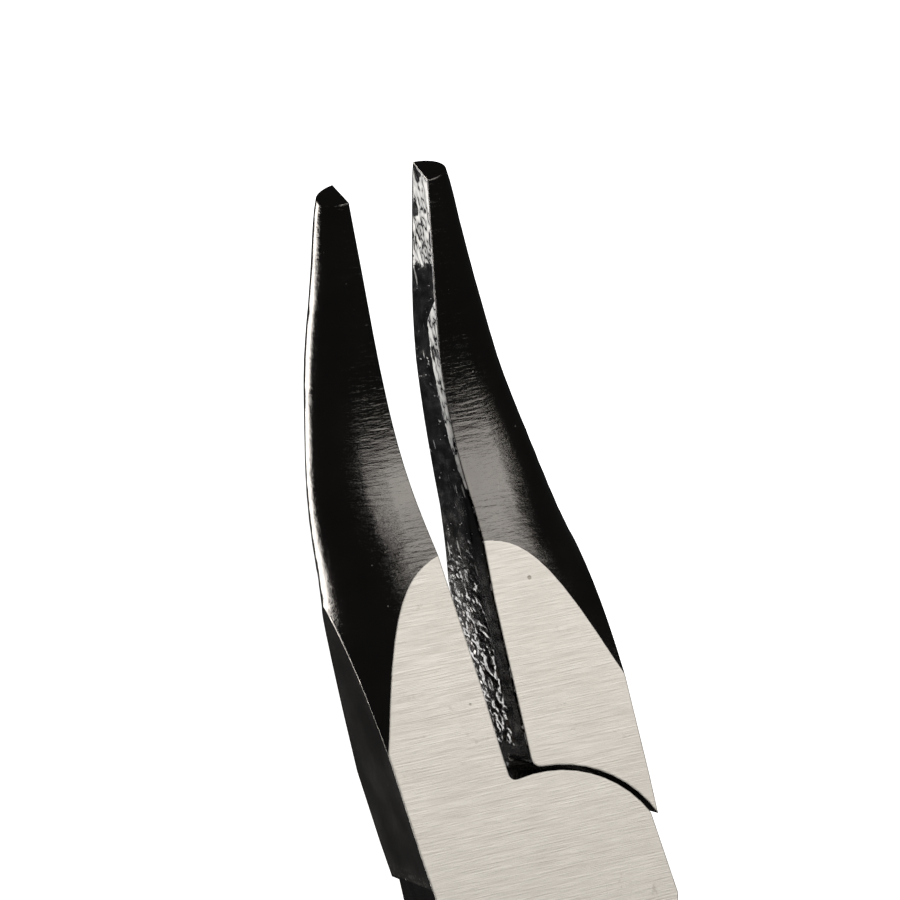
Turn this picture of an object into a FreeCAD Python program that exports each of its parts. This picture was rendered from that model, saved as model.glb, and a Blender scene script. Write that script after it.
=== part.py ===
import FreeCAD, Part
import math
import os

# Bent long-nose pliers, lap jointed: two forged levers on one flush rivet, each
# with a hard grip core that carries two soft pads.
#
# Working frame (mm): the rivet's axis is x = y = 0, +Y runs to the jaw tips, +Z
# is the side the nose bends to, and z = 0 is the plane between the two cheeks.
# Each lever is drawn with the jaws shut, then turned to its resting place, and
# everything is lifted so that the head's back flat lies on z = 0.
# The front lever has the left jaw, the front cheek and the right handle. The
# rear lever is its mirror image in x, with its cheek on the back.

V = FreeCAD.Vector

# ---------------------------------------------------------------- head
HALF_THICKNESS = 4.5            # head, mid-plane to flat
HEAD_HALF_WIDTH = 7.9           # head, rivet axis to side face
NOSE_HALF_WIDTH = 7.5           # the same where the flats end: the sides draw in
SIDE_TAPER_START = 6.0          # y where the sides begin to draw in
HEAD_BLOCK_END = 10.0           # plain slab up to here, jaw section beyond
FLAT_END_Y = 24.3               # beyond every point where the nose meets the flats
REST_HALF_OPENING_DEG = 3.2     # each lever's turn at rest

# ---------------------------------------------------------------- lap joint
CHEEK_RADIUS = 8.3
CHEEK_HALF_WIDTH = 7.8
RECESS_RADIUS = 8.65            # sweeps round the other lever's cheek
LAP_GAP = 0.1                   # between the two sliding cheek faces
RECESS_CORNER_RADIUS = 0.7      # where a gripping face meets its own recess
THROAT_RADIUS = 0.5             # where a gripping face meets its own cheek
REACH = 30.0                    # cutting tools run this far, past all they cut

# ---------------------------------------------------------------- rivet
RIVET_RADIUS = 2.5
RIVET_HEAD_RADIUS = 3.3
RIVET_HEAD_DEPTH = 1.3
RUNNING_CLEARANCE = 0.04        # rivet to the rear lever's hole

# ---------------------------------------------------------------- nose
BEND_START = 25.5               # along the nose's middle line from the rivet
BEND_RADIUS = 27.0
BEND_ANGLE_DEG = 32.0
NOSE_LENGTH = 50.1              # along the middle line
# Stations along the middle line: distance, half-width of the two shut jaws,
# height of the front and back flanks, and the back flank's fullness, where 2 is
# an ellipse and less is flatter.
NOSE_STATIONS = [
    (HEAD_BLOCK_END, 14.0, 6.2, 6.0, 1.85),
    (12.5, 12.4, 5.85, 5.7, 1.72),
    (16.5, 10.1, 5.75, 5.4, 1.58),
    (20.5, 8.3, 5.3, 4.6, 1.6),
    (24.0, 7.25, 4.42, 3.6, 1.85),
    (27.0, 6.7, 3.6, 3.1, 2.0),
    (30.0, 6.1, 3.0, 2.75, 2.0),
    (34.0, 5.15, 2.6, 2.4, 2.0),
    (38.5, 4.2, 2.35, 2.2, 2.0),
    (43.0, 3.2, 1.95, 1.95, 2.0),
    (47.5, 2.3, 1.5, 1.65, 2.0),
    (NOSE_LENGTH, 1.7, 1.2, 1.3, 2.0),
]
FRONT_FULLNESS = 2.0
SECTION_STEP_DEG = 15           # spacing of the points round a nose section
# How far each gripping face stands back from the middle of the shut jaws:
# (y, distance).
LEFT_FACE_RELIEF = [
    (-1.0, 0.58), (9.6, 0.58), (15.0, 0.4), (23.0, 0.3),
    (30.0, 0.15), (35.0, 0.05), (60.0, 0.05),
]
RIGHT_FACE_RELIEF = [
    (-1.0, 0.18), (9.6, 0.18), (20.0, 0.12), (26.0, 0.35),
    (30.0, 0.25), (36.0, 0.05), (60.0, 0.05),
]

# ---------------------------------------------------------------- tangs
TANG_OUTER_EDGE = [
    (7.75, -1.0), (7.6, -4.5), (9.3, -12.0), (13.4, -22.0),
    (17.6, -36.0), (19.8, -56.0), (18.8, -82.0), (14.8, -106.0),
]
TANG_INNER_EDGE = [
    (0.55, -5.0), (0.55, -9.5), (2.4, -14.0), (7.4, -24.0),
    (11.8, -38.0), (14.0, -57.0), (13.4, -82.0), (10.8, -106.0),
]
# Side view of a tang: (y, half-thickness).
TANG_THICKNESS = [(0.0, 4.5), (-11.0, 4.5), (-17.0, 3.9), (-40.0, 3.3), (-107.0, 2.6)]
TANG_EDGE_RADIUS = 0.9
EDGE_SLACK = 0.001              # for comparing an edge's place with a dimension

# ---------------------------------------------------------------- grips
GRIP_LINE = [
    (9.2, -17.5), (12.4, -27.0), (15.9, -42.0),
    (16.9, -60.0), (15.9, -84.0), (12.2, -112.0),
]
# Stations along the grip's middle line: fraction of its length, reach to the
# outside, reach to the inside, and half-thickness.
GRIP_STATIONS = [
    (0.0, 5.2, 4.2, 6.3),
    (0.012, 6.4, 5.0, 7.2),
    (0.045, 8.3, 5.6, 8.4),
    (0.075, 8.0, 5.4, 8.2),
    (0.12, 6.1, 5.2, 7.4),
    (0.2, 6.2, 5.6, 7.7),
    (0.35, 7.2, 6.3, 8.3),
    (0.55, 7.6, 6.7, 8.6),
    (0.75, 7.0, 6.3, 8.2),
    (0.9, 6.3, 5.9, 7.6),
    (0.97, 5.6, 5.3, 6.8),
    (0.992, 4.5, 4.3, 5.6),
    (1.0, 3.2, 3.1, 4.2),
]
GRIP_FULLNESS = 2.3
PAD_DEPTH = 2.0
# A pad's border: (fraction of the grip's length, distance from the middle line).
OUTER_PAD_BORDER = [
    (0.13, 9.5), (0.17, 4.6), (0.27, 1.9), (0.5, 1.0), (0.75, 1.7), (0.87, 4.2), (0.93, 9.5),
]
INNER_PAD_BORDER = [
    (0.2, 9.0), (0.24, 5.0), (0.34, 3.0), (0.5, 2.5), (0.66, 3.0), (0.76, 5.0), (0.8, 9.0),
]
PAD_REACH = 14.0                # past the grip's widest point
GROOVE_COUNT = 6
FIRST_GROOVE, GROOVE_PITCH = 0.235, 0.035   # fractions of the grip's length
GROOVE_RADIUS = 0.65


# ---------------------------------------------------------------- helpers
def smooth_edge(points):
    """A smooth curve through the points."""
    curve = Part.BSplineCurve()
    curve.interpolate([V(*point) for point in points])
    return curve.toShape()


def straight_edge(start, end):
    return Part.LineSegment(start, end).toShape()


def prism(outline, low, high):
    """Upright prism between two heights over a closed outline of (x, y) points."""
    points = [V(x, y, low) for x, y in outline]
    face = Part.Face(Part.makePolygon(points + points[:1]))
    return face.extrude(V(0, 0, high - low))


def block(x_low, x_high, y_low, y_high, z_low, z_high):
    return Part.makeBox(x_high - x_low, y_high - y_low, z_high - z_low, V(x_low, y_low, z_low))


def cylinder(radius, low, high):
    return Part.makeCylinder(radius, high - low, V(0, 0, low))


def power(value, exponent):
    """value raised to exponent, keeping its sign."""
    return math.copysign(abs(value) ** exponent, value)


def left_to_right(shape):
    return shape.mirror(V(0, 0, 0), V(1, 0, 0))


def back_to_front(shape):
    return shape.mirror(V(0, 0, 0), V(0, 0, 1))


# ---------------------------------------------------------------- nose and head
def bend_frame(distance):
    """Point on the nose's middle line, and the direction across it in the YZ plane."""
    straight = min(distance, BEND_START)
    turned = min(max(distance - BEND_START, 0.0) / BEND_RADIUS, math.radians(BEND_ANGLE_DEG))
    bend_length = BEND_RADIUS * math.radians(BEND_ANGLE_DEG)
    beyond = max(distance - BEND_START - bend_length, 0.0)
    y = straight + BEND_RADIUS * math.sin(turned) + beyond * math.cos(turned)
    z = BEND_RADIUS * (1.0 - math.cos(turned)) + beyond * math.sin(turned)
    return V(0, y, z), V(0, -math.sin(turned), math.cos(turned))


def nose_section(distance, half_width, front, back, back_fullness):
    """D-shaped section of the left jaw, square to the nose's middle line."""
    centre, across = bend_frame(distance)
    points = []
    for angle in range(90, 271, SECTION_STEP_DEG):
        is_front = angle <= 180
        height = front if is_front else back
        exponent = 2.0 / (FRONT_FULLNESS if is_front else back_fullness)
        sideways = power(math.cos(math.radians(angle)), exponent) * half_width
        upright = power(math.sin(math.radians(angle)), exponent) * height
        if angle in (90, 270):
            sideways = 0.0
        points.append(centre + V(sideways, 0, 0) + across * upright)
    return Part.Wire([smooth_edge(points), straight_edge(points[-1], points[0])])


def relieved(shape, relief):
    """The shape with its gripping face planed back from the middle of the shut jaws."""
    outline = [(-depth, y) for y, depth in relief]
    outline += [(REACH, relief[-1][0]), (REACH, relief[0][0])]
    return shape.cut(prism(outline, -REACH, REACH))


def nose(relief):
    """The left jaw beyond the head's plain slab: a tapering, bent D-section, planed
    to the head's flats and side face."""
    shape = Part.makeLoft([nose_section(*station) for station in NOSE_STATIONS], True, False)
    for low, high in ((HALF_THICKNESS, REACH), (-REACH, -HALF_THICKNESS)):
        shape = shape.cut(block(-REACH, REACH, 0.0, FLAT_END_Y, low, high))
    side = [(-REACH, 0.0)] + side_line() + [(-REACH, FLAT_END_Y)]
    return relieved(shape.cut(prism(side, -REACH, REACH)), relief)


def side_line():
    """The head's left side seen from the front."""
    return [
        (-HEAD_HALF_WIDTH, 0.0), (-HEAD_HALF_WIDTH, SIDE_TAPER_START),
        (-NOSE_HALF_WIDTH, FLAT_END_Y),
    ]


def head_block(relief):
    """The left half of the head, from beside the rivet to the foot of the nose."""
    outline = [(0.0, 0.0)] + side_line() + [(0.0, FLAT_END_Y)]
    slab = prism(outline, -HALF_THICKNESS, HALF_THICKNESS)
    foot = block(-REACH, REACH, 0.0, HEAD_BLOCK_END, -REACH, REACH)
    return relieved(slab.common(foot), relief)


# ---------------------------------------------------------------- tang and cheek
def tang():
    """The steel inside the right handle, from under the cheek to the tail."""
    outer = smooth_edge([(x, y, -HALF_THICKNESS) for x, y in TANG_OUTER_EDGE])
    inner = smooth_edge([(x, y, -HALF_THICKNESS) for x, y in TANG_INNER_EDGE])
    ends = [straight_edge(a.Point, b.Point) for a, b in zip(outer.Vertexes, inner.Vertexes)]
    face = Part.Face(Part.Wire([outer, ends[1], inner, ends[0]]))
    plate = face.extrude(V(0, 0, 2 * HALF_THICKNESS))
    profile = [V(0, y, half) for y, half in TANG_THICKNESS]
    profile += [V(0, y, -half) for y, half in reversed(TANG_THICKNESS)]
    side_view = Part.Face(Part.makePolygon(profile + profile[:1]))
    bar = plate.common(side_view.extrude(V(REACH, 0, 0)))
    corners = [edge for edge in bar.Edges if is_long_corner(edge)]
    return bar.makeFillet(TANG_EDGE_RADIUS, corners)


def is_long_corner(edge):
    """Whether an edge runs along the tang at one of its four corners."""
    bounds = edge.BoundBox
    return bounds.YLength > bounds.XLength and bounds.YMax < TANG_THICKNESS[1][0] + EDGE_SLACK


def cheek():
    """The front cheek: half the head's thickness, round about the rivet."""
    disc = cylinder(CHEEK_RADIUS, LAP_GAP / 2, HALF_THICKNESS)
    sides = block(-CHEEK_HALF_WIDTH, CHEEK_HALF_WIDTH, -REACH, REACH, 0.0, HALF_THICKNESS)
    return disc.common(sides)


def corner_piece(face_x, radius, corner_radius, side, low, high):
    """The small prism between an upright face at face_x, the circle of that radius
    about the rivet, and the round that joins them on the face's left (-1) or
    right (+1)."""
    centre_x = face_x + side * corner_radius
    centre_y = math.sqrt((radius + corner_radius) ** 2 - centre_x ** 2)
    share = radius / (radius + corner_radius)
    behind_x = face_x - side * corner_radius / 2
    outline = [
        (behind_x, math.sqrt(radius ** 2 - behind_x ** 2)), (behind_x, centre_y),
        (centre_x, centre_y), (centre_x * share, centre_y * share),
    ]
    blend = Part.makeCylinder(corner_radius, high - low, V(centre_x, centre_y, low))
    return prism(outline, low, high).cut(blend)


def rivet(clearance):
    """Shank with a countersunk end flush with each flat, grown by clearance."""
    shank = cylinder(RIVET_RADIUS + clearance, -HALF_THICKNESS, HALF_THICKNESS)
    depth = RIVET_HEAD_DEPTH + clearance
    cone = Part.makeCone(RIVET_RADIUS + clearance, RIVET_HEAD_RADIUS + clearance, depth)
    cone.translate(V(0, 0, HALF_THICKNESS - depth))
    return shank.fuse([cone, back_to_front(cone)]).removeSplitter()


def lever(relief, cheek_on_front, rivet_clearance):
    """Left jaw, cheek and right tang as one forging. The back half is recessed for
    the other lever's cheek, and the throat is rounded on both."""
    face_x = -relief[0][1]
    floor = LAP_GAP / 2
    recess = cylinder(RECESS_RADIUS, -REACH, floor)
    recess_corner = corner_piece(face_x, RECESS_RADIUS, RECESS_CORNER_RADIUS, -1, -REACH, floor)
    throat = corner_piece(face_x, CHEEK_RADIUS, THROAT_RADIUS, 1, floor, HALF_THICKNESS)
    hub = head_block(relief).fuse(tang()).cut([recess, recess_corner]).fuse([cheek(), throat])
    if not cheek_on_front:
        hub = back_to_front(hub)
    return hub.fuse(nose(relief)).cut(rivet(rivet_clearance)).removeSplitter()


# ---------------------------------------------------------------- grips
def grip_frame(fraction):
    """Point on the grip's middle line and the direction to its outer side."""
    curve = Part.BSplineCurve()
    curve.interpolate([V(x, y, 0) for x, y in GRIP_LINE])
    place = curve.parameterAtDistance(fraction * curve.length())
    along = V(*curve.tangent(place)[0])
    return curve.value(place), V(-along.y, along.x, 0)


def grip_section(fraction, outside, inside, half_thickness, inset):
    """Closed section square to the grip's middle line, shrunk all round by inset."""
    centre, outward = grip_frame(fraction)
    exponent = 2.0 / GRIP_FULLNESS
    points = []
    for angle in range(0, 360, SECTION_STEP_DEG):
        cosine = power(math.cos(math.radians(angle)), exponent)
        sine = power(math.sin(math.radians(angle)), exponent)
        reach = (outside if cosine > 0 else inside) - inset
        height = (half_thickness - inset) * sine
        points.append(centre + outward * (reach * cosine) + V(0, 0, height))
    curve = Part.BSplineCurve()
    curve.interpolate(points, PeriodicFlag=True)
    return Part.Wire(curve.toShape())


def grip_solid(inset):
    return Part.makeLoft([grip_section(*station, inset) for station in GRIP_STATIONS], True, False)


def pad_zone(border, side):
    """Everything beyond a pad's border, on the outer (+1) or inner (-1) side."""
    frames = [grip_frame(fraction) for fraction, _ in border]
    line = []
    for (centre, outward), (_, distance) in zip(frames, border):
        line.append(centre + outward * (side * distance))
    beyond = []
    for centre, outward in (frames[-1], frames[0]):
        beyond.append(centre + outward * (side * PAD_REACH))
    corners = [line[-1]] + beyond + [line[0]]
    edges = [smooth_edge(line)] + [straight_edge(a, b) for a, b in zip(corners, corners[1:])]
    face = Part.Face(Part.Wire(edges))
    face.translate(V(0, 0, -PAD_REACH))
    return face.extrude(V(0, 0, 2 * PAD_REACH))


def grooves(whole):
    """Round channels across the outer pad, each along a section of the grip."""
    tools = []
    for index in range(GROOVE_COUNT):
        centre, outward = grip_frame(FIRST_GROOVE + index * GROOVE_PITCH)
        along = outward.cross(V(0, 0, 1))
        spine = whole.slice(along, centre.dot(along))[0]
        first = spine.Edges[0]
        heading = first.tangentAt(first.FirstParameter)
        profile = Part.makeCircle(GROOVE_RADIUS, first.Vertexes[0].Point, heading)
        tools.append(spine.makePipeShell([Part.Wire(profile)], True, False))
    return tools


def grip():
    """The right handle's hard core and its two soft pads."""
    whole = grip_solid(0.0)
    skin = whole.cut(grip_solid(PAD_DEPTH))
    outer = skin.common(pad_zone(OUTER_PAD_BORDER, 1))
    inner = skin.common(pad_zone(INNER_PAD_BORDER, -1))
    core = whole.cut([outer, inner, tang()])
    return {"grip_core": core, "outer_pad": outer.cut(grooves(whole)), "inner_pad": inner}


# ---------------------------------------------------------------- assembly
def assembly():
    """Every sub-part at rest, by node name."""
    turn = REST_HALF_OPENING_DEG
    grip_parts = grip()
    nodes = {}
    nodes["front_lever"] = placed(lever(LEFT_FACE_RELIEF, True, 0.0), turn)
    nodes["pivot_rivet"] = placed(rivet(0.0), turn)
    rear_lever = left_to_right(lever(RIGHT_FACE_RELIEF, False, RUNNING_CLEARANCE))
    nodes["rear_lever"] = placed(rear_lever, -turn)
    for name, shape in grip_parts.items():
        nodes["front_" + name] = placed(shape, turn)
        nodes["rear_" + name] = placed(left_to_right(shape), -turn)
    return nodes


def placed(shape, turn):
    """The shape turned about the rivet and lifted on to the back flat."""
    result = shape.copy()
    result.rotate(V(0, 0, 0), V(0, 0, 1), turn)
    result.translate(V(0, 0, HALF_THICKNESS))
    return result


os.makedirs("parts", exist_ok=True)
for node, solid in assembly().items():
    solid.exportStep("parts/" + node + ".step")
    state = "valid" if solid.isValid() else "INVALID"
    print(node, state, len(solid.Solids), "solid,", round(solid.Volume), "mm3")
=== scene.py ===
import math

import bmesh
import bpy
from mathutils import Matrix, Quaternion, Vector, noise
from mathutils.bvhtree import BVHTree


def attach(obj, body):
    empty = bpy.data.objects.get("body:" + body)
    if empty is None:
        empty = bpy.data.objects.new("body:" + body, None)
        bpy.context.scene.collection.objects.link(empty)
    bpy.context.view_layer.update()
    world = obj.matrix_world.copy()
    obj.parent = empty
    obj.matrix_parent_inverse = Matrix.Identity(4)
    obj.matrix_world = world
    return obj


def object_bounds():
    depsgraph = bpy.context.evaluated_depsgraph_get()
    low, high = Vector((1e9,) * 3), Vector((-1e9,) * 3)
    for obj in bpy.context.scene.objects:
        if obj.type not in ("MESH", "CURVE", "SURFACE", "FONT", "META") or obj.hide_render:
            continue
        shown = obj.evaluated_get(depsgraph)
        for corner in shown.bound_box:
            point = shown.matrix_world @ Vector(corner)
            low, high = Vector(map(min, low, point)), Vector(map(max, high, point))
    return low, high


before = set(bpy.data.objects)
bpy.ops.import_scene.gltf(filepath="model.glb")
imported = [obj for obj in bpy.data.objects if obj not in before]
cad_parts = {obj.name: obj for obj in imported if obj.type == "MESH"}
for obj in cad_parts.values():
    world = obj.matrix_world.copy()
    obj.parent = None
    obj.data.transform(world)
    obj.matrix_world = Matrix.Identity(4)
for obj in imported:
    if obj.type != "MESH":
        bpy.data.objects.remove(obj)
cad_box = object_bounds()

MM = 0.001

# ---------------------------------------------------------------- view
AIM = Vector((2.5, 29.6, 4.5)) * MM     # a little ahead of the head, on the mid-plane
AZIMUTH, ELEVATION, ROLL = -107.15, 71.64, 90.57
DISTANCE = 229.8 * MM
LENS = 140.0


def direction(azimuth, elevation):
    """Unit vector from the object towards a place at that azimuth and elevation, in
    degrees. Azimuth 0 is towards -Y and 90 towards +X."""
    a, e = math.radians(azimuth), math.radians(elevation)
    return Vector((math.sin(a) * math.cos(e), -math.cos(a) * math.cos(e), math.sin(e)))


def make_camera():
    """The view along which the pliers are seen by default."""
    data = bpy.data.cameras.new("camera")
    data.lens = LENS
    data.clip_start = 0.01
    camera = bpy.data.objects.new("camera", data)
    bpy.context.scene.collection.objects.link(camera)
    back = direction(AZIMUTH, ELEVATION)
    camera.location = AIM + back * DISTANCE
    camera.rotation_mode = "QUATERNION"
    turn = Quaternion((0, 0, 1), math.radians(ROLL))
    camera.rotation_quaternion = (-back).to_track_quat("-Z", "Y") @ turn
    bpy.context.scene.camera = camera


# ---------------------------------------------------------------- node helpers
NOISE_LOW, NOISE_HIGH = 0.3, 0.7
BEVEL_SAMPLES = 6


class Nodes:
    """A material's node tree, with a short call for each kind of node used."""

    def __init__(self, tree):
        self.tree = tree
        tree.nodes.clear()

    def add(self, kind, **settings):
        node = self.tree.nodes.new(kind)
        for name, value in settings.items():
            setattr(node, name, value)
        return node

    def put(self, socket, value):
        """Links a socket to a node's output, or sets it to a plain value."""
        if isinstance(value, bpy.types.NodeSocket):
            self.tree.links.new(value, socket)
        else:
            socket.default_value = value

    def maths(self, operation, *values):
        node = self.add("ShaderNodeMath", operation=operation)
        for socket, value in zip(node.inputs, values):
            self.put(socket, value)
        return node.outputs[0]

    def place(self):
        """Position on the object, in millimetres."""
        coordinate = self.add("ShaderNodeTexCoord")
        scale = self.add("ShaderNodeVectorMath", operation="SCALE")
        self.put(scale.inputs[0], coordinate.outputs["Object"])
        scale.inputs["Scale"].default_value = 1 / MM
        return scale.outputs[0]

    def facing(self):
        """Normal on the object, before any bump."""
        return self.add("ShaderNodeTexCoord").outputs["Normal"]

    def split(self, vector):
        node = self.add("ShaderNodeSeparateXYZ")
        self.put(node.inputs[0], vector)
        return node.outputs

    def stretch(self, vector, scale, turn=0.0):
        """A vector turned about Z by turn degrees, then scaled along each axis."""
        turned = self.add("ShaderNodeVectorRotate", rotation_type="Z_AXIS")
        self.put(turned.inputs["Vector"], vector)
        turned.inputs["Angle"].default_value = math.radians(turn)
        scaled = self.add("ShaderNodeVectorMath", operation="MULTIPLY")
        self.put(scaled.inputs[0], turned.outputs[0])
        scaled.inputs[1].default_value = scale
        return scaled.outputs[0]

    def noise(self, vector, scale, detail=4.0, roughness=0.55):
        node = self.add("ShaderNodeTexNoise")
        self.put(node.inputs["Vector"], vector)
        node.inputs["Scale"].default_value = scale
        node.inputs["Detail"].default_value = detail
        node.inputs["Roughness"].default_value = roughness
        return node.outputs[0]

    def ramp(self, value, low, high, out_low=0.0, out_high=1.0):
        """value carried linearly from low..high to out_low..out_high, and clamped."""
        node = self.add("ShaderNodeMapRange")
        for name, given in (
            ("Value", value), ("From Min", low), ("From Max", high),
            ("To Min", out_low), ("To Max", out_high),
        ):
            self.put(node.inputs[name], given)
        return node.outputs[0]

    def spread(self, noise_value, out_low=0.0, out_high=1.0):
        """A noise carried to out_low..out_high from the range where most of it lies."""
        return self.ramp(noise_value, NOISE_LOW, NOISE_HIGH, out_low, out_high)

    def attribute(self, name):
        return self.add("ShaderNodeAttribute", attribute_name=name).outputs["Fac"]

    def bevel(self, radius):
        """Normal rounded over the edges by radius, in metres."""
        node = self.add("ShaderNodeBevel", samples=BEVEL_SAMPLES)
        self.put(node.inputs["Radius"], radius)
        return node.outputs[0]

    def mix(self, share, first, second):
        """Colour mixed from first to second."""
        node = self.add("ShaderNodeMix", data_type="RGBA")
        self.put(node.inputs["Factor"], share)
        self.put(node.inputs["A"], first)
        self.put(node.inputs["B"], second)
        return node.outputs["Result"]

    def blend(self, share, first, second):
        """Number mixed from first to second."""
        node = self.add("ShaderNodeMix", data_type="FLOAT")
        self.put(node.inputs["Factor"], share)
        self.put(node.inputs["A"], first)
        self.put(node.inputs["B"], second)
        return node.outputs["Result"]

    def bump(self, height, distance, strength=1.0, normal=None):
        node = self.add("ShaderNodeBump")
        self.put(node.inputs["Height"], height)
        node.inputs["Distance"].default_value = distance
        self.put(node.inputs["Strength"], strength)
        if normal is not None:
            self.put(node.inputs["Normal"], normal)
        return node.outputs[0]


def rgb(red, green, blue):
    """sRGB 0..255 to a linear colour."""
    def linear(c):
        c /= 255
        return c / 12.92 if c <= 0.04045 else ((c + 0.055) / 1.055) ** 2.4
    return (linear(red), linear(green), linear(blue), 1.0)


def material(name):
    """A new material, its node tree and its surface node."""
    made = bpy.data.materials.new(name)
    made.use_nodes = True
    nodes = Nodes(made.node_tree)
    surface = nodes.add("ShaderNodeBsdfPrincipled")
    output = nodes.add("ShaderNodeOutputMaterial")
    nodes.put(output.inputs["Surface"], surface.outputs[0])
    return made, nodes, surface


# ---------------------------------------------------------------- steel
FLAT_TOP, FLAT_BOTTOM = 9.0, 0.0         # the head's two flats, in mm
FLAT_SLACK = 0.02
FLAT_FRONT_END = 25.0
GRIND_TURN = 6.4                         # the grinding lines slope this far from X
GRIND_LINES = (0.42, 10.0, 4.0)          # per mm, along and across the lines
GRIND_BANDS = (0.1, 2.6, 1.0)
GRIND_STROKES = (0.55, 3.6, 1.5)
GRIND_HEIGHT = 0.014 * MM
STROKE_HEIGHT = 0.055 * MM
SIDE_STROKES = 0.12                      # share of the strokes' relief left on the side faces
SCRATCHES = (0.5, 0.13, 0.3)             # per mm
BLACK = rgb(118, 114, 110)
BLACK_LIGHT = rgb(130, 126, 121)
BARE = rgb(208, 201, 190)
BARE_LIGHT = rgb(238, 232, 222)
BARE_METALLIC = 0.8                      # the rest is dull, as ground steel is
RUST = rgb(112, 92, 72)
# painted shade: near-black colour for the lap joint's sliding faces between the flats
LAP_SHADE = rgb(42, 40, 38)
EDGE_RADIUS = 0.16 * MM
RIVET_CLEAR = (4.0, 4.3)                 # nearer the axis than this no edge is rounded
SHOULDER_Y = 3.4                         # the step where a recess meets the side of the head
SHOULDER_X = (6.9, 7.5)                  # how far out its chips begin, and are in full
SHOULDER_CHIPS = (0.35, 0.9)             # how far along Y they reach from it
LAP_REACH = 8.72                         # the sliding faces end this far from the rivet axis
LAP_MIDDLE, LAP_HALF_HEIGHT = 4.5, 4.45
DOT_CELLS_EMPTY = 0.72                   # share of the cells without a speck
DOT_EDGE = 1.6                           # a speck fades out at this many times its size


def edge_mask(n, rounded, low=0.93, high=0.995):
    """1 on sharp edges, where the rounded normal leaves the face's own normal."""
    geometry = n.add("ShaderNodeNewGeometry")
    alike = n.add("ShaderNodeVectorMath", operation="DOT_PRODUCT")
    n.put(alike.inputs[0], rounded)
    n.put(alike.inputs[1], geometry.outputs["True Normal"])
    return n.ramp(alike.outputs["Value"], low, high, 1.0, 0.0)


def specks(n, place, per_mm, size):
    """Sparse small dots, 1 on a dot."""
    cells = n.add("ShaderNodeTexVoronoi", feature="F1")
    n.put(cells.inputs["Vector"], place)
    cells.inputs["Scale"].default_value = per_mm
    dot = n.ramp(cells.outputs["Distance"], size, size * DOT_EDGE, 1.0, 0.0)
    chosen = n.maths("GREATER_THAN", n.split(cells.outputs["Color"])[0], DOT_CELLS_EMPTY)
    return n.maths("MULTIPLY", dot, chosen)


def hairlines(n, place, scale, turn, width):
    """Sparse thin scratches, 1 on a scratch."""
    cells = n.add("ShaderNodeTexVoronoi", feature="DISTANCE_TO_EDGE")
    wander = n.noise(place, 0.35, 2.0)
    bent = n.add("ShaderNodeVectorMath", operation="ADD")
    n.put(bent.inputs[0], n.stretch(place, scale, turn))
    n.put(bent.inputs[1], wander)
    n.put(cells.inputs["Vector"], bent.outputs[0])
    cells.inputs["Scale"].default_value = 1.0
    line = n.ramp(cells.outputs["Distance"], 0.0, width, 1.0, 0.0)
    broken = n.ramp(n.noise(place, 0.3, 2.0), 0.62, 0.7)
    return n.maths("MULTIPLY", line, broken)


def ground_steel(n, place):
    """Colour, roughness and height of cross-ground bare steel."""
    lines = n.noise(n.stretch(place, GRIND_LINES, GRIND_TURN), 1.0, 4.0, 0.6)
    bands = n.noise(n.stretch(place, GRIND_BANDS, GRIND_TURN), 1.0, 3.0)
    patches = n.noise(place, 0.2, 3.0)
    pits = specks(n, place, 0.5, 0.05)
    stained_area = n.ramp(n.noise(place, 0.13, 2.0), 0.52, 0.6)
    spots = n.ramp(n.noise(place, 0.8, 5.0, 0.7), 0.6, 0.7)
    stain = n.maths("MULTIPLY", spots, stained_area)
    tone = n.maths("ADD", n.spread(lines, 0.0, 0.48), n.spread(bands, 0.0, 0.34))
    tone = n.maths("ADD", tone, n.spread(patches, 0.0, 0.2))
    colour = n.mix(tone, BARE, BARE_LIGHT)
    colour = n.mix(n.maths("MULTIPLY", stain, 0.3), colour, RUST)
    colour = n.mix(n.maths("MULTIPLY", pits, 0.55), colour, RUST)
    rough = n.spread(lines, 0.44, 0.34)
    height = n.maths("SUBTRACT", lines, n.maths("MULTIPLY", pits, 0.8))
    return colour, rough, height


def black_steel(n, place):
    """Colour, roughness and height of ground steel under a thin black finish."""
    strokes = n.noise(n.stretch(place, GRIND_STROKES, GRIND_TURN), 1.0, 5.0, 0.6)
    patches = n.noise(place, 0.25, 3.0)
    dust = specks(n, place, 0.9, 0.045)
    fine = n.noise(place, 6.0, 3.0)
    scratch = hairlines(n, place, SCRATCHES, 17.0, 0.006)
    marks = n.maths("MULTIPLY", n.maths("MAXIMUM", dust, scratch), 0.55)
    colour = n.mix(n.spread(patches), BLACK, BLACK_LIGHT)
    colour = n.mix(marks, colour, BARE)
    rough = n.maths("ADD", n.spread(patches, 0.11, 0.16), n.maths("MULTIPLY", dust, 0.3))
    height = n.maths("ADD", strokes, n.maths("MULTIPLY", fine, 0.08))
    return colour, rough, height


def on_flats(n, y, z):
    """1 on the head's two bare flats."""
    top = n.maths("GREATER_THAN", z, FLAT_TOP - FLAT_SLACK)
    bottom = n.maths("LESS_THAN", z, FLAT_BOTTOM + FLAT_SLACK)
    behind_nose = n.maths("LESS_THAN", y, FLAT_FRONT_END)
    return n.maths("MULTIPLY", n.maths("ADD", top, bottom), behind_nose)


def lap_shade_mask(n, from_axis, z):
    """1 on the sliding faces between the two flats, which get painted shade."""
    near_axis = n.maths("LESS_THAN", from_axis, LAP_REACH)
    from_middle = n.maths("ABSOLUTE", n.maths("SUBTRACT", z, LAP_MIDDLE))
    return n.maths("MULTIPLY", near_axis, n.maths("LESS_THAN", from_middle, LAP_HALF_HEIGHT))


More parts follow.
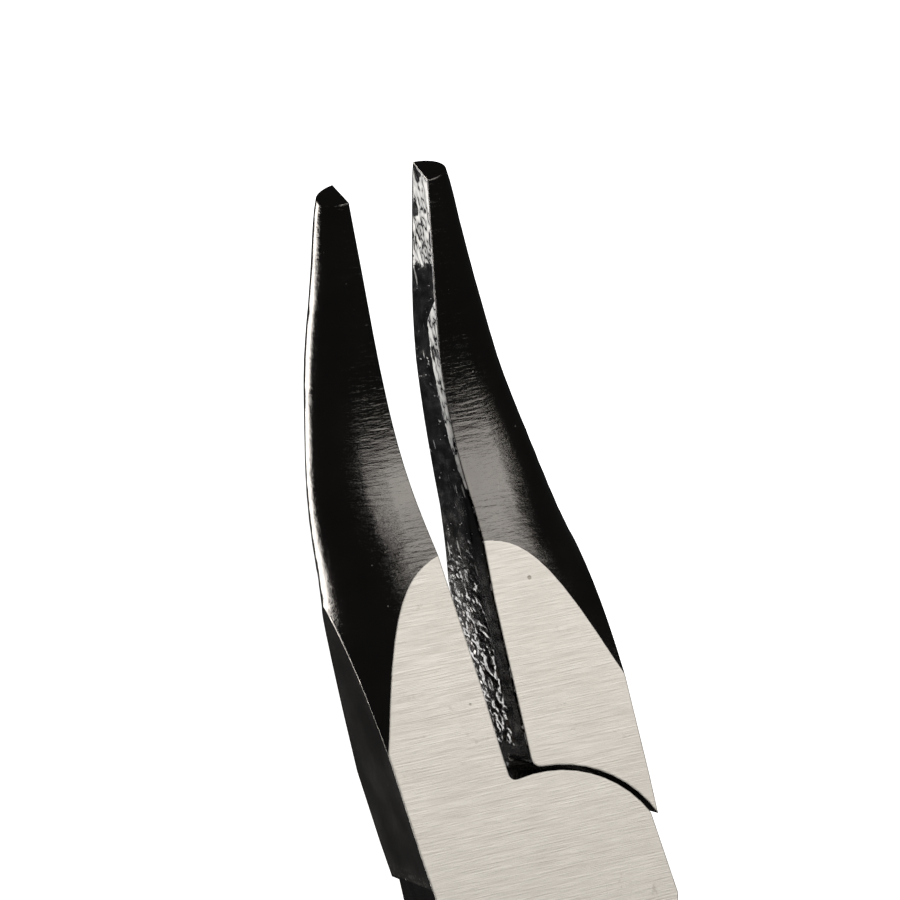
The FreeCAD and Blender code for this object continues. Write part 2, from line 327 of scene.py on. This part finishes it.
def wear_and_edge_highlight(n, place, x, y, rounded):
    """How far the black is rubbed through to bare steel on edges, partly as wear and partly as a
    painted highlight along them, and chipped at the shoulders, where the chips also paint the
    highlight on the shoulders' corners.
    """
    broken = n.ramp(n.noise(place, 2.2, 4.0, 0.7), 0.5, 0.62)
    # bare colour along sharp edges: wear, and also a painted highlight on ridges and tips
    lightened = n.maths("MULTIPLY", n.maths("MULTIPLY", edge_mask(n, rounded), broken), 0.8)
    far_out = n.ramp(n.maths("ABSOLUTE", x), *SHOULDER_X)
    from_shoulder = n.maths("ABSOLUTE", n.maths("SUBTRACT", y, SHOULDER_Y))
    at_shoulder = n.maths("MULTIPLY", far_out, n.ramp(from_shoulder, *SHOULDER_CHIPS, 1.0, 0.0))
    chips = n.ramp(n.noise(place, 2.6, 5.0, 0.7), 0.54, 0.58)
    return n.maths("MAXIMUM", lightened, n.maths("MULTIPLY", at_shoulder, chips))


def lever_steel():
    """Black-finished steel with bare, cross-ground flats on the head, worn edges that also carry
    painted highlights, and painted shade on the lap joint's sliding faces.
    """
    made, n, surface = material("lever_steel")
    place = n.place()
    x, y, z = n.split(place)
    from_axis = n.maths("SQRT", n.maths("ADD", n.maths("POWER", x, 2.0), n.maths("POWER", y, 2.0)))
    rounded = n.bevel(n.ramp(from_axis, *RIVET_CLEAR, 0.0, EDGE_RADIUS))
    flat = on_flats(n, y, z)
    bare_colour, bare_rough, bare_height = ground_steel(n, place)
    black_colour, black_rough, black_height = black_steel(n, place)
    # edges and shoulders mixed to bare steel: wear, and also painted highlight
    black_worn_and_highlit = n.mix(wear_and_edge_highlight(n, place, x, y, rounded), black_colour, BARE)
    colour = n.mix(flat, black_worn_and_highlit, bare_colour)
    # painted shade on the sliding faces inside the lap joint
    colour = n.mix(lap_shade_mask(n, from_axis, z), colour, LAP_SHADE)
    n.put(surface.inputs["Base Color"], colour)
    n.put(surface.inputs["Metallic"], n.blend(flat, 1.0, BARE_METALLIC))
    n.put(surface.inputs["Roughness"], n.blend(flat, black_rough, bare_rough))
    sideways = n.maths("ABSOLUTE", n.split(n.facing())[0])
    curved = n.ramp(sideways, 0.9, 0.985, 1.0, SIDE_STROKES)
    stroked = n.maths("MULTIPLY", n.maths("SUBTRACT", 1.0, flat), curved)
    on_black = n.bump(black_height, STROKE_HEIGHT, stroked, rounded)
    n.put(surface.inputs["Normal"], n.bump(bare_height, GRIND_HEIGHT, flat, on_black))
    return made


def bare_steel():
    """The rivet's flush ends, ground together with the flats."""
    made, n, surface = material("bare_steel")
    colour, rough, height = ground_steel(n, n.place())
    n.put(surface.inputs["Base Color"], colour)
    surface.inputs["Metallic"].default_value = BARE_METALLIC
    n.put(surface.inputs["Roughness"], rough)
    n.put(surface.inputs["Normal"], n.bump(height, GRIND_HEIGHT))
    return made


# ---------------------------------------------------------------- gripping faces' finish
DARK_FACE = rgb(62, 60, 62)
# pale colours of the painted reflection and painted glints on the gripping faces
HIGHLIGHT_DARK = rgb(150, 148, 146)
HIGHLIGHT_LIGHT = rgb(226, 223, 218)
LUMPS = (1.5, 1.5, 0.7)                  # this and the next six are per mm
RAGGED = (1.5, 1.1, 0.9)
FLECKS = (2.6, 3.0, 1.1)
FLECK_GROUPS = (0.5, 0.35, 0.3)
STREAKS = (1.5, 0.45, 1.6)
SMUDGES = (1.2, 0.8, 0.9)
WRINKLES = (1.0, 0.7, 1.0)
LUMP_HEIGHT = 0.2 * MM
THROAT_END = (21.0, 27.0)                # y over which the steep lumps die away
FLECKS_START = (17.0, 20.0)
TIP_Y = 42.3                             # the rear jaw's face carries a painted reflection beyond this
TIP_BORDER = 0.1
STRIP_GROWS = (26.5, 37.0)               # a strip of painted highlight widens along the front edge
STRIP_ENDS = (38.5, 40.5)
STRIP_LEAST, STRIP_WIDTH = 0.15, 1.9
STRIP_BORDER = 0.05
STRIP_RAGGED = 0.25
HIGHLIGHT_ROUGHNESS, HIGHLIGHT_STRENGTH = 0.4, 0.3
BRIGHT_DULL = 0.8                        # share of a place painted bright that isn't metallic


def painted_glints(n, place, y):
    """Painted glints: flecks and long streaks of painted highlight on the gripping face, past the
    throat.
    """
    dots = n.ramp(n.noise(n.stretch(place, FLECKS), 1.0, 2.0, 0.6), 0.66, 0.7)
    groups = n.ramp(n.noise(n.stretch(place, FLECK_GROUPS), 1.0, 1.0, 0.5), 0.42, 0.55, 0.1, 0.8)
    streaks = n.ramp(n.noise(n.stretch(place, STREAKS), 1.0, 1.0, 0.5), 0.7, 0.74, 0.0, 0.7)
    both = n.maths("MAXIMUM", n.maths("MULTIPLY", dots, groups), streaks)
    return n.maths("MULTIPLY", both, n.ramp(y, *FLECKS_START, 0.0, 0.9))


def painted_reflection_area(n, place, y):
    """1 on the tip and on the strip along the front edge, both with ragged borders."""
    ragged = n.ramp(n.noise(n.stretch(place, RAGGED), 1.0, 4.0, 0.7), 0.25, 0.75, -1.0, 1.0)
    tip = n.ramp(n.maths("ADD", y, ragged), TIP_Y - TIP_BORDER, TIP_Y + TIP_BORDER)
    grown = n.ramp(y, *STRIP_GROWS, STRIP_LEAST, STRIP_WIDTH)
    ended = n.ramp(y, *STRIP_ENDS, 0.0, STRIP_WIDTH + 1.0)
    width = n.maths("SUBTRACT", grown, ended)
    inward = n.maths("ADD", n.attribute("from_front"), n.maths("MULTIPLY", ragged, STRIP_RAGGED))
    strip = n.ramp(n.maths("SUBTRACT", width, inward), -STRIP_BORDER, STRIP_BORDER)
    return n.maths("MAXIMUM", tip, strip)


def reflection_breakup(n, place):
    """Share of the painted reflection left between smudges and wrinkles, its colour, and its
    height.
    """
    smudge = n.noise(n.stretch(place, SMUDGES), 1.0, 1.5, 0.4)
    folds = n.noise(n.stretch(place, WRINKLES), 1.0, 2.0, 0.5)
    wrinkle = n.maths("ABSOLUTE", n.maths("SUBTRACT", folds, 0.5))
    unsmudged = n.ramp(smudge, 0.53, 0.6, 1.0, 0.1)
    reflection_share = n.maths("MULTIPLY", unsmudged, n.ramp(wrinkle, 0.01, 0.03, 0.05, 1.0))
    return reflection_share, n.mix(n.ramp(wrinkle, 0.0, 0.12), HIGHLIGHT_DARK, HIGHLIGHT_LIGHT), wrinkle


def grip_face_material(name, painted_tip):
    """Thick lumpy black on a gripping face with painted glints, and a painted reflection on the tip
    and along the front edge where asked.
    """
    made, n, surface = material(name)
    place = n.place()
    y = n.split(place)[1]
    fine = n.noise(n.stretch(place, LUMPS), 1.0, 1.5, 0.5)
    beyond_throat = n.ramp(y, *THROAT_END)
    black = n.mix(beyond_throat, BLACK, DARK_FACE)
    colour = n.mix(n.ramp(fine, 0.62, 0.7, 0.0, 0.12), black, BARE)
    rough = n.spread(fine, 0.12, 0.2)
    # painted glints: pale flecks and streaks that stand in for sparkle highlights
    bright = painted_glints(n, place, y)
    steep_patches = n.ramp(n.noise(place, 0.7, 3.0, 0.6), 0.56, 0.7, 0.015, 0.2)
    steep = n.blend(beyond_throat, 1.0, steep_patches)
    lumpy = n.maths("ADD", 0.1, n.maths("MULTIPLY", n.attribute("lumpy"), 0.9))
    strength = n.maths("MULTIPLY", steep, lumpy)
    height = fine
    if painted_tip:
        # painted reflection on the tip and painted highlight along the front edge
        lightened = painted_reflection_area(n, place, y)
        reflection_share, reflection_colour, wrinkle = reflection_breakup(n, place)
        bright = n.blend(lightened, bright, reflection_share)
        colour = n.mix(bright, colour, reflection_colour)
        rough = n.blend(bright, rough, HIGHLIGHT_ROUGHNESS)
        height = n.blend(lightened, fine, wrinkle)
        strength = n.blend(lightened, strength, HIGHLIGHT_STRENGTH)
    else:
        # painted glints on the front jaw's gripping face
        colour = n.mix(bright, colour, HIGHLIGHT_LIGHT)
    metallic = n.maths("SUBTRACT", 1.0, n.maths("MULTIPLY", bright, BRIGHT_DULL))
    n.put(surface.inputs["Metallic"], metallic)
    n.put(surface.inputs["Base Color"], colour)
    n.put(surface.inputs["Roughness"], rough)
    n.put(surface.inputs["Normal"], n.bump(height, LUMP_HEIGHT, strength))
    return made


# ---------------------------------------------------------------- gripping faces' skins
FACE_START, FACE_STEP = 9.8, 0.11        # mm along Y
FACE_COLUMNS = 92
LEAST_FACE_SPAN = 0.3                    # the rows end where the face gets narrower
FACE_HALF_GAP = 4.5                      # the face lies nearer the middle plane than this
FACE_SQUARE = 0.97                       # least share of its normal that is along X
BORDER_HALVINGS = 7
FACE_MARGIN = 0.06                       # from the face's long edges
FACE_FADE = 0.25                         # the relief dies away over this much
FACE_RELIEF = 0.17
GAP_SHARE = 0.75                         # most of the shut jaws' half gap a lump may fill
FACE_SINK = 0.03                         # how deep the border lies under the steel
FACE_ROOT = 0.3                          # how deep the skin's back lies
PLAIN_STRIP = 2.4                        # near the throat the front edge stays plain
PLAIN_STRIP_END, PLAIN_STRIP_FADE = 30.0, 9.0
PLAIN_LEVEL = 0.4                        # height of the plain strip
LUMPS_FADE = 0.5                         # from the plain strip to the full lumps
BAND_PITCH = 0.9                         # the worn cross teeth near the throat
BANDS_END, BANDS_FADE = 21.0, 5.0
MEAN_LEVEL = 0.5
LUMP_RATES = (2.2, 0.75)                 # per mm along Y, near the throat and beyond it
LUMP_RATE_UP, LUMP_RATE_UP_NEAR = 0.6, 0.1
LUMP_SHARE, LUMP_SHARE_NEAR = 0.15, 0.45     # what the throat adds to each comes second
SMALL_SHARE, SMALL_FINER, SMALL_RATE_UP = 0.3, 2.0, 1.3
WANDER, WANDER_RATES = 0.22, (0.8, 0.9)  # how far the cross teeth stray, and how often
GROOVE_SHARE, GROOVE_WIDTH = 0.45, 0.5
LUMP_SEED, SMALL_SEED, WANDER_SEED = 7.0, 3.0, 3.0
REST_HALF_OPENING = math.radians(3.2)
SCAN_LOW, SCAN_HIGH, SCAN_STEP = -0.5, 15.5, 0.1


def smooth(value):
    """An S curve from 0 to 1, level beyond both ends."""
    value = max(0.0, min(1.0, value))
    return value * value * (3 - 2 * value)


def face_height(y, z, side):
    """Relief of the gripping face's skin, 0 to 1, at a place in mm. Near the throat
    it is banded crosswise, and further on its lumps are drawn out lengthwise."""
    near = smooth((BANDS_END - y) / BANDS_FADE)
    along = LUMP_RATES[0] * min(y, BANDS_END) + LUMP_RATES[1] * max(y - BANDS_END, 0.0)
    up = z * (LUMP_RATE_UP + LUMP_RATE_UP_NEAR * near)
    lumps = noise.noise(Vector((side * LUMP_SEED, along, up)))
    finer = Vector((side * SMALL_SEED, along * SMALL_FINER, z * SMALL_RATE_UP))
    small = near * noise.noise(finer)
    strayed = Vector((WANDER_SEED, y * WANDER_RATES[0], z * WANDER_RATES[1]))
    wander = WANDER * noise.noise(strayed)
    tooth = abs(math.sin(math.pi * (y + wander) / BAND_PITCH))
    groove = 1.0 - smooth(tooth / GROOVE_WIDTH)
    height = MEAN_LEVEL + (LUMP_SHARE + LUMP_SHARE_NEAR * near) * lumps
    return height + SMALL_SHARE * small - GROOVE_SHARE * near * groove


def look_sideways(tree, y, z, side):
    """Where a ray from the middle plane meets the jaw, and the normal there."""
    return tree.ray_cast(Vector((0, y * MM, z * MM)), Vector((side, 0, 0)))[:2]


def scan_face(tree, y, side):
    """Lowest and highest z of the gripping face at y, in mm, or None."""
    def on_face(z):
        spot, normal = look_sideways(tree, y, z, side)
        return (spot is not None and normal.x * side < -FACE_SQUARE
                and abs(spot.x) < FACE_HALF_GAP * MM)

    def border(inside, outside):
        for _ in range(BORDER_HALVINGS):
            middle = (inside + outside) / 2
            if on_face(middle):
                inside = middle
            else:
                outside = middle
        return inside

    steps = round((SCAN_HIGH - SCAN_LOW) / SCAN_STEP)
    hits = [z for z in (SCAN_LOW + SCAN_STEP * i for i in range(steps)) if on_face(z)]
    if not hits:
        return None
    return border(hits[0], hits[0] - SCAN_STEP), border(hits[-1], hits[-1] + SCAN_STEP)


def face_rows(tree, side):
    """The y of each row of the skin, with the face's lowest and highest z there."""
    rows = []
    y = FACE_START
    extent = scan_face(tree, y, side)
    while extent is not None and extent[1] - extent[0] >= LEAST_FACE_SPAN:
        rows.append((y, extent))
        y += FACE_STEP
        extent = scan_face(tree, y, side)
    return rows


def skin_point(tree, side, y, z, extent, last_y):
    """One point of the skin, in metres, and how lumpy the skin is there, 0 to 1."""
    low, high = extent
    spot, _ = look_sideways(tree, y, z, side)
    shut_x = spot.x / MM * math.cos(REST_HALF_OPENING) - side * y * math.sin(REST_HALF_OPENING)
    room = min(FACE_RELIEF, GAP_SHARE * abs(shut_x))
    inward = min(z - low, high - z, y - FACE_START + FACE_MARGIN, last_y - y + FACE_MARGIN)
    fade = smooth((inward - FACE_MARGIN) / FACE_FADE)
    plain = PLAIN_STRIP * smooth((PLAIN_STRIP_END - y) / PLAIN_STRIP_FADE)
    lumpy = smooth((high - z - plain) / LUMPS_FADE)
    level = max(0.0, min(1.0, face_height(y, z, side)))
    rise = (PLAIN_LEVEL + (level - PLAIN_LEVEL) * lumpy) * room
    offset = fade * rise - (1 - fade) * FACE_SINK
    return Vector((spot.x - side * offset * MM, y * MM, z * MM)), lumpy


def skin_outside(grid, tree, side):
    """Vertices of the skin's outside, one list for each row."""
    front_layer = grid.verts.layers.float.new("from_front")
    lumpy_layer = grid.verts.layers.float.new("lumpy")
    rows = face_rows(tree, side)
    outside = []
    for y, (low, high) in rows:
        line = []
        span = high - low - 2 * FACE_MARGIN
        for column in range(FACE_COLUMNS + 1):
            z = low + FACE_MARGIN + span * column / FACE_COLUMNS
            point, lumpy = skin_point(tree, side, y, z, (low, high), rows[-1][0])
            vertex = grid.verts.new(point)
            vertex[front_layer] = high - z
            vertex[lumpy_layer] = lumpy
            line.append(vertex)
        outside.append(line)
    return outside


def close_skin(grid, outside, side):
    """Faces over the rows, walls down from their rim, and a flat-sided back."""
    for first, second in zip(outside, outside[1:]):
        for column in range(FACE_COLUMNS):
            following = column + 1
            grid.faces.new((first[column], first[following], second[following], second[column]))
    front_side = [line[-1] for line in outside[1:]]
    back_side = [line[0] for line in outside[-2:0:-1]]
    ring = outside[0] + front_side + outside[-1][-2::-1] + back_side
    inward = Vector((side * FACE_ROOT * MM, 0, 0))
    root = [grid.verts.new(vertex.co + inward) for vertex in ring]
    for index, vertex in enumerate(ring):
        following = (index + 1) % len(ring)
        grid.faces.new((vertex, root[index], root[following], ring[following]))
    grid.faces.new(root)
    bmesh.ops.recalc_face_normals(grid, faces=grid.faces)
    for face in grid.faces:
        face.smooth = True


def jaw_face(name, node, side, body, painted_tip):
    """A lumpy skin over a jaw's gripping face, with its back sunk in the steel. side is
    -1 for the jaw at -X."""
    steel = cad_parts[node].data
    corners = [vertex.co for vertex in steel.vertices]
    tree = BVHTree.FromPolygons(corners, [polygon.vertices for polygon in steel.polygons])
    grid = bmesh.new()
    close_skin(grid, skin_outside(grid, tree, side), side)
    mesh = bpy.data.meshes.new(name)
    grid.to_mesh(mesh)
    grid.free()
    piece = bpy.data.objects.new(name, mesh)
    bpy.context.scene.collection.objects.link(piece)
    mesh.materials.append(grip_face_material(name, painted_tip))
    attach(piece, body)


# ---------------------------------------------------------------- grips
GRIP_EDGE_RADIUS = 0.25 * MM
PLASTIC, PLASTIC_LIGHT = rgb(34, 34, 36), rgb(46, 46, 48)
PLASTIC_RUBBED = rgb(110, 110, 110)
PLASTIC_SCRATCHES = (0.5, 0.12, 0.3)     # per mm
PLASTIC_GRAIN_HEIGHT = 0.04 * MM
RUBBER, RUBBER_LIGHT = rgb(132, 24, 22), rgb(160, 34, 30)
RUBBER_DOTS, RUBBER_RUBBED = rgb(186, 62, 54), rgb(196, 84, 76)
RUBBER_DOTS_PER_MM = 2.4
RUBBER_DOT_HEIGHT = 0.06 * MM


def hard_plastic():
    """Charcoal moulded plastic with a fine spark-eroded grain and scuffs."""
    made, n, surface = material("hard_plastic")
    place = n.place()
    grain = n.noise(place, 3.2, 3.0, 0.6)
    clouds = n.noise(place, 0.09, 3.0)
    scuffs = hairlines(n, place, PLASTIC_SCRATCHES, 30.0, 0.008)
    rounded = n.bevel(GRIP_EDGE_RADIUS)
    lightened = n.maths("MULTIPLY", edge_mask(n, rounded), n.ramp(n.noise(place, 0.8, 3.0), 0.4, 0.65))
    marks = n.maths("MULTIPLY", n.maths("MAXIMUM", lightened, scuffs), 0.3)
    colour = n.mix(n.spread(clouds), PLASTIC, PLASTIC_LIGHT)
    n.put(surface.inputs["Base Color"], n.mix(marks, colour, PLASTIC_RUBBED))
    n.put(surface.inputs["Roughness"], n.spread(grain, 0.36, 0.56))
    n.put(surface.inputs["Normal"], n.bump(grain, PLASTIC_GRAIN_HEIGHT, 1.0, rounded))
    return made


def soft_rubber():
    """Muted red elastomer, stippled, and paler on its edges where it is rubbed."""
    made, n, surface = material("soft_rubber")
    place = n.place()
    stipple = n.add("ShaderNodeTexVoronoi", feature="F1")
    n.put(stipple.inputs["Vector"], place)
    stipple.inputs["Scale"].default_value = RUBBER_DOTS_PER_MM
    dots = n.ramp(stipple.outputs["Distance"], 0.15, 0.6, 1.0, 0.0)
    clouds = n.noise(place, 0.12, 4.0, 0.6)
    grain = n.noise(place, 5.0, 3.0)
    rounded = n.bevel(GRIP_EDGE_RADIUS)
    colour = n.mix(n.spread(clouds), RUBBER, RUBBER_LIGHT)
    colour = n.mix(n.maths("MULTIPLY", dots, 0.22), colour, RUBBER_DOTS)
    colour = n.mix(n.maths("MULTIPLY", edge_mask(n, rounded), 0.35), colour, RUBBER_RUBBED)
    n.put(surface.inputs["Base Color"], colour)
    n.put(surface.inputs["Roughness"], n.spread(grain, 0.5, 0.68))
    height = n.maths("ADD", dots, n.maths("MULTIPLY", grain, 0.3))
    n.put(surface.inputs["Normal"], n.bump(height, RUBBER_DOT_HEIGHT, 1.0, rounded))
    return made


def finish_nodes():
    """Gives each CAD node the material that the last word of its name calls for."""
    finishes = {
        "lever": lever_steel(),
        "rivet": bare_steel(),
        "core": hard_plastic(),
        "pad": soft_rubber(),
    }
    for name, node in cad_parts.items():
        node.data.materials.clear()
        node.data.materials.append(finishes[name.split("_")[-1]])


# ---------------------------------------------------------------- studio
FLOOR_HALF_WIDTH = 3.0
FLOOR_GREY, FLOOR_ROUGHNESS, FLOOR_GLOW = 0.9, 0.8, 0.9
WORLD_SEEN, WORLD_ON_DULL, WORLD_IN_GLOSS = 1.0, 0.55, 0.022
UNDER_THROAT = Vector((-4.5, 9.0, 0.0)) * MM
WHITE = (1, 1, 1, 1)


def area_light(name, azimuth, elevation, distance, size, radiance, aim=AIM, turn=0.0):
    """Soft rectangular lamp that faces the object. size is its width across and its
    height, and radiance is how bright its face looks."""
    data = bpy.data.lights.new(name, "AREA")
    data.shape = "RECTANGLE"
    data.size, data.size_y = size
    data.energy = radiance * math.pi * size[0] * size[1]
    light = bpy.data.objects.new(name, data)
    bpy.context.scene.collection.objects.link(light)
    away = direction(azimuth, elevation)
    light.location = aim + away * distance
    light.rotation_mode = "QUATERNION"
    about_aim = Quaternion((0, 0, 1), math.radians(turn))
    light.rotation_quaternion = (-away).to_track_quat("-Z", "Y") @ about_aim


def make_floor():
    """A pale floor under the object, which neither shades it nor shows in its gloss."""
    side = FLOOR_HALF_WIDTH
    low = cad_box[0].z
    mesh = bpy.data.meshes.new("floor")
    corners = [(-side, -side, low), (side, -side, low), (side, side, low), (-side, side, low)]
    mesh.from_pydata(corners, [], [(0, 1, 2, 3)])
    floor = bpy.data.objects.new("floor", mesh)
    bpy.context.scene.collection.objects.link(floor)
    made, _, surface = material("floor")
    surface.inputs["Base Color"].default_value = (FLOOR_GREY, FLOOR_GREY, FLOOR_GREY, 1)
    surface.inputs["Roughness"].default_value = FLOOR_ROUGHNESS
    surface.inputs["Emission Color"].default_value = WHITE
    surface.inputs["Emission Strength"].default_value = FLOOR_GLOW
    mesh.materials.append(made)
    floor.visible_glossy = False
    floor.visible_diffuse = False
    floor.visible_shadow = False


def make_world():
    """White behind the object, soft grey on dull surfaces, and near black in gloss."""
    world = bpy.data.worlds.new("world")
    bpy.context.scene.world = world
    world.use_nodes = True
    n = Nodes(world.node_tree)
    path = n.add("ShaderNodeLightPath")
    unseen = n.blend(path.outputs["Is Diffuse Ray"], WORLD_IN_GLOSS, WORLD_ON_DULL)
    strength = n.blend(path.outputs["Is Camera Ray"], unseen, WORLD_SEEN)
    background = n.add("ShaderNodeBackground")
    background.inputs["Color"].default_value = WHITE
    n.put(background.inputs["Strength"], strength)
    output = n.add("ShaderNodeOutputWorld")
    n.put(output.inputs["Surface"], background.outputs[0])


def make_lights():
    """A softbox overhead, a card low on the left, and a small card under the throat
    that the rear jaw's gripping face mirrors through the gap."""
    area_light("key_box", azimuth=108, elevation=66, distance=0.6,
               size=(0.58, 0.78), radiance=1.38, turn=-14.0)
    area_light("left_card", azimuth=-96, elevation=-45, distance=0.5,
               size=(0.6, 0.26), radiance=5.8)
    area_light("under_card", azimuth=0, elevation=-90, distance=0.035,
               size=(0.0045, 0.019), radiance=2.3, aim=UNDER_THROAT)


make_camera()
make_world()
make_floor()
make_lights()
finish_nodes()
jaw_face("front_jaw_face", "front_lever", -1, "front_half", painted_tip=False)
jaw_face("rear_jaw_face", "rear_lever", 1, "rear_half", painted_tip=True)
bpy.context.scene.view_settings.view_transform = "Standard"
